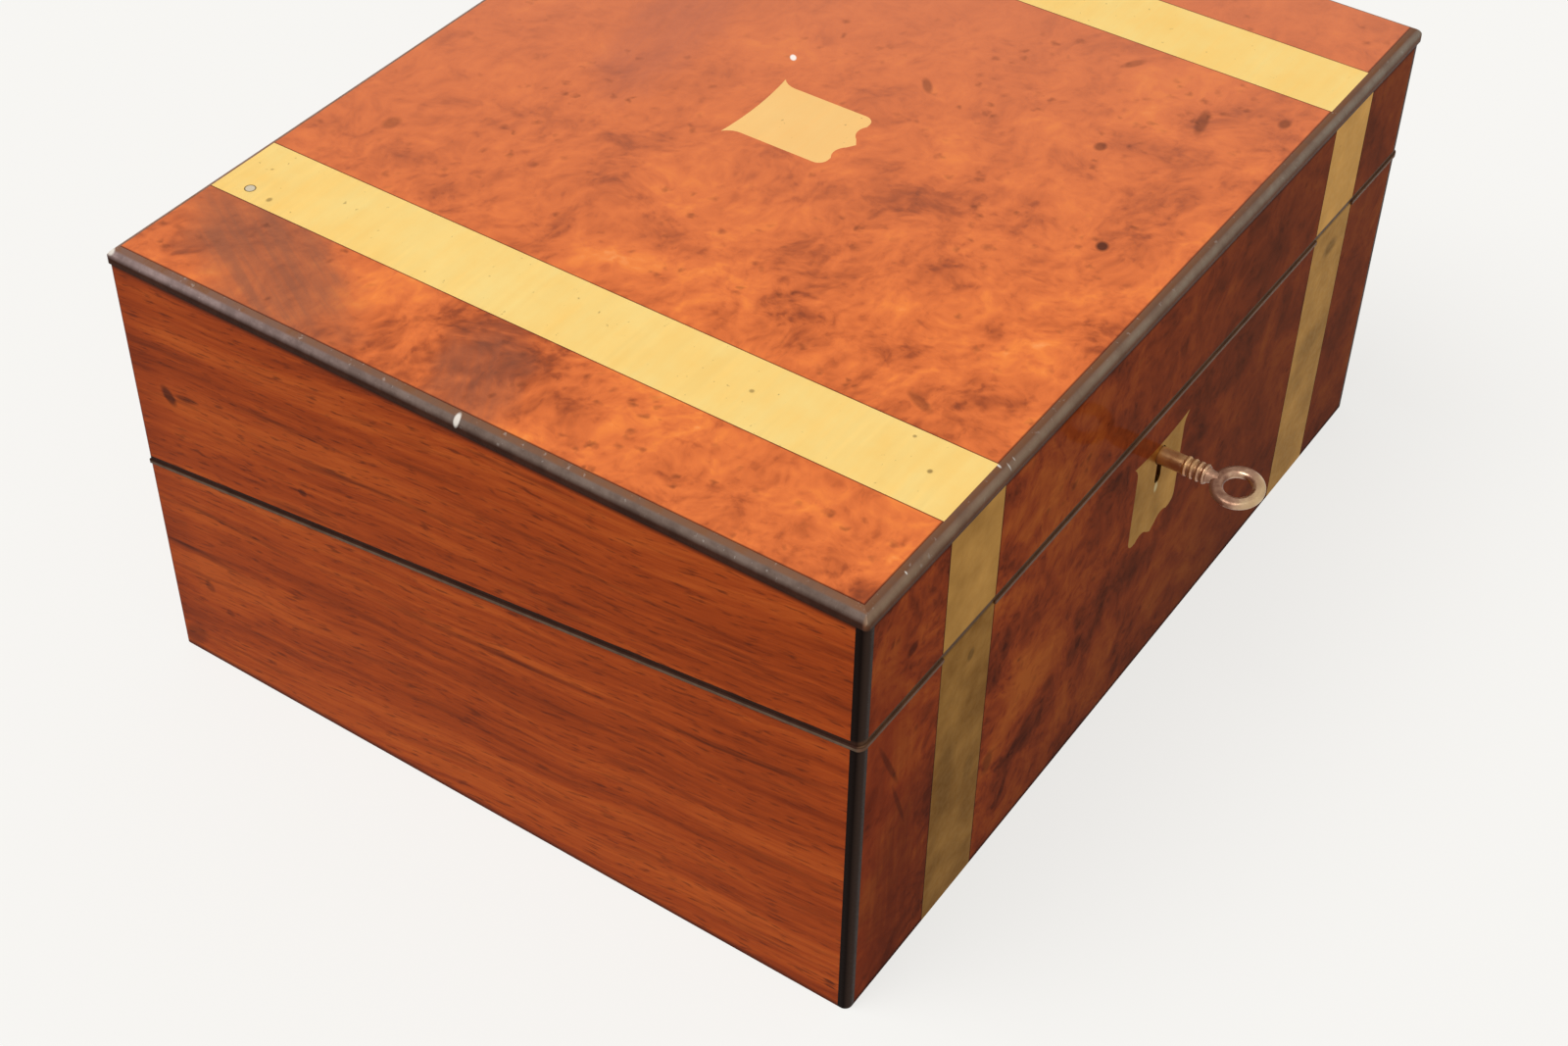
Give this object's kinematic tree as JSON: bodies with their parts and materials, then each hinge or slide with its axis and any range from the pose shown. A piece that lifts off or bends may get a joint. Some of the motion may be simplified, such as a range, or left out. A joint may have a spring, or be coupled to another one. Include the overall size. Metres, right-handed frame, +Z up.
{
  "type": "writing slope",
  "caption": "Victorian writing slope in burr walnut with brass straps; opens on a slant to two leather flaps, pen tray and inkwells.",
  "frame": {"origin": "centre of the box's underside, midway between its side faces and between its front and back faces", "axes": "+X to the right when facing the lock, along the longest side; front with the lock towards -Y; +Z up"},
  "size_m": [0.313, 0.2793, 0.15],
  "materials": {
    "carcass_wood": "satin",
    "burr_walnut": "polished",
    "side_veneer": "polished",
    "ebony": "polished",
    "brass_top": "satin",
    "brass_front": "tarnished",
    "brass_works": "satin",
    "old_iron": "rusty",
    "inner_wood": "satin",
    "leather": "worn",
    "glass": "clear"
  },
  "bodies": {
    "base": {"base_front_board": "carcass_wood", "base_back_board": "carcass_wood", "base_left_board": "carcass_wood", "base_right_board": "carcass_wood", "base_bottom_board": "carcass_wood", "base_front_veneer": "burr_walnut", "base_left_veneer": "side_veneer", "base_right_veneer": "side_veneer", "base_back_veneer": "side_veneer", "base_corner_edging": "ebony", "base_rim_bead": "ebony", "base_front_straps": "brass_front", "escutcheon": "brass_front", "lock_case": "brass_works", "base_hinge_leaves": "brass_works", "hinge_pins": "brass_works", "pen_partition": "inner_wood", "well_partitions": "inner_wood", "raised_floor": "inner_wood", "tray_bearers": "inner_wood", "pen_tray": "inner_wood", "ink_bottle_left": "glass", "ink_bottle_right": "glass", "ink_collars": "brass_works", "base_flap_ledges": "inner_wood", "base_hinge_rail": "inner_wood", "base_flap_hinge_fixed": "brass_works"},
    "lid": {"lid_front_board": "carcass_wood", "lid_back_board": "carcass_wood", "lid_left_board": "carcass_wood", "lid_right_board": "carcass_wood", "lid_top_board": "carcass_wood", "lid_top_veneer": "burr_walnut", "lid_front_veneer": "burr_walnut", "lid_left_veneer": "side_veneer", "lid_right_veneer": "side_veneer", "lid_back_veneer": "side_veneer", "lid_edge_moulding": "ebony", "lid_corner_edging": "ebony", "lid_rim_stringing": "ebony", "lid_top_straps": "brass_top", "lid_front_straps": "brass_front", "lid_hinge_leaves": "brass_works", "lid_flap_ledges": "inner_wood", "lid_hinge_rail": "inner_wood", "lid_catch_rail": "inner_wood", "lid_flap_hinge_fixed": "brass_works", "cartouche": "brass_top", "lock_link_plate": "brass_works"},
    "base_flap": {"base_flap": "inner_wood", "base_flap_leather": "leather", "base_flap_hinge_moving": "brass_works"},
    "lid_flap": {"lid_flap": "inner_wood", "lid_flap_leather": "leather", "lid_flap_hinge_moving": "brass_works"},
    "key": {"key": "old_iron"},
    "bolt": {"lock_bolt": "brass_works"},
    "catch": {"flap_catch": "brass_works"},
    "ink_cap_left": {"ink_cap_left": "brass_works"},
    "ink_cap_right": {"ink_cap_right": "brass_works"}
  },
  "joints": [
    {"name": "lid_hinge", "type": "hinge", "parent": "base", "child": "lid", "pos_m": [0, 0.1225, 0.0752], "axis": [-1, 0, 0], "range_deg": [0, 180]},
    {"name": "base_flap_hinge", "type": "hinge", "parent": "base", "child": "base_flap", "pos_m": [0, 0.09955, 0.07575], "axis": [-1, 0, 0], "range_deg": [0, 100]},
    {"name": "lid_flap_hinge", "type": "hinge", "parent": "lid", "child": "lid_flap", "pos_m": [0, 0.10004, 0.07972], "axis": [1, 0, 0], "range_deg": [0, 100]},
    {"name": "key_turn", "type": "hinge", "parent": "base", "child": "key", "pos_m": [0.002, -0.1135, 0.0865], "axis": [0, 1, 0], "range_deg": [-90, 90]},
    {"name": "bolt_slide", "type": "slide", "parent": "base", "child": "bolt", "axis": [1, 0, 0], "range_m": [-0.004, 0.004]},
    {"name": "flap_catch_turn", "type": "hinge", "parent": "lid", "child": "catch", "pos_m": [0, -0.10481, 0.1049], "axis": [0, 0.122, 0.9925], "range_deg": [0, 90]},
    {"name": "cap_left_turn", "type": "hinge", "parent": "base", "child": "ink_cap_left", "pos_m": [-0.123, -0.087, 0.0795], "axis": [0, 0, 1], "range_deg": [0, 540]},
    {"name": "cap_right_turn", "type": "hinge", "parent": "base", "child": "ink_cap_right", "pos_m": [0.123, -0.087, 0.0795], "axis": [0, 0, 1], "range_deg": [0, 540]}
  ],
  "couplings": [
    {"joint": "base_flap_hinge", "follows": "lid_hinge", "ratio": 0.25},
    {"joint": "lid_flap_hinge", "follows": "lid_hinge", "ratio": 0.25},
    {"joint": "bolt_slide", "follows": "key_turn", "m_per_rad": 0.0025464}
  ]
}
